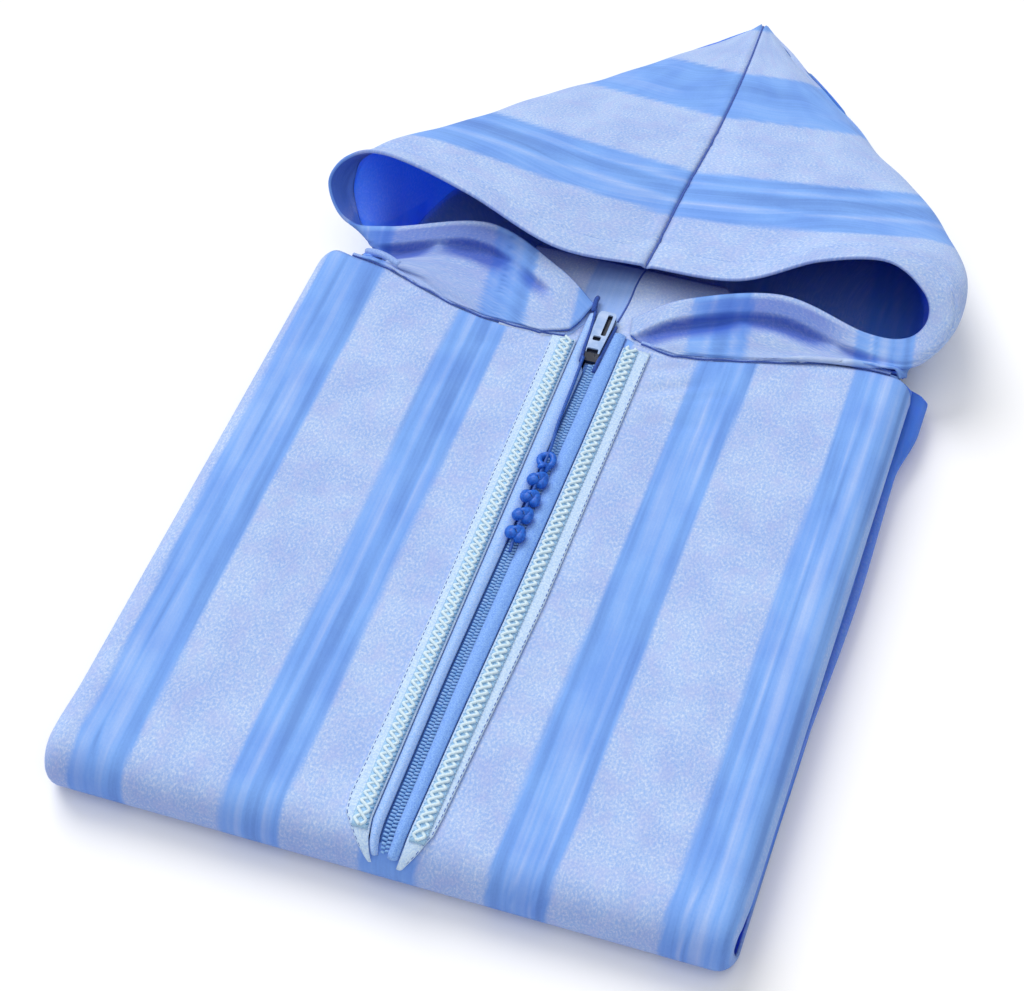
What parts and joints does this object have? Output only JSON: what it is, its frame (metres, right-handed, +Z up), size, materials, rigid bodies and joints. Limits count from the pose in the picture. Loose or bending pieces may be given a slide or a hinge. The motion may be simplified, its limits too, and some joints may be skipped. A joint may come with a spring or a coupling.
{
  "type": "folded hooded robe",
  "caption": "Folded long cotton robe in pale heather blue with blue stripes, a zip placket with braid trim and a knotted cord pull, its pointed hood laid open above the packet.",
  "frame": {"origin": "middle of the packet's flat underside, level with the surface it lies on", "axes": "+Z up from the surface, +Y along the zip from the front fold towards the hood's peak, +X across the packet to the right of the zip seen from the front fold"},
  "size_m": [0.3424, 0.6299, 0.0648],
  "materials": {
    "stripe_cloth": "matt brushed cotton, heather ground with blue stripes",
    "inner_cloth": "matt brushed cotton seen at the folded edges",
    "braid": "matt woven braid with a zigzag",
    "tape": "matt woven zip tape",
    "teeth": "satin coil",
    "slider": "satin enamel",
    "cord": "satin braided cord"
  },
  "bodies": {
    "root": {"front": "stripe_cloth", "back": "stripe_cloth", "hood_left": "stripe_cloth", "hood_right": "stripe_cloth", "facing_left": "stripe_cloth", "facing_right": "stripe_cloth", "folded_layers": "inner_cloth", "braid_left": "braid", "braid_right": "braid", "zip_tape_left": "tape", "zip_tape_right": "tape", "zip_chain": "teeth", "zip_slider": "slider", "pull_cord": "cord", "pull_knots": "cord"}
  },
  "joints": []
}
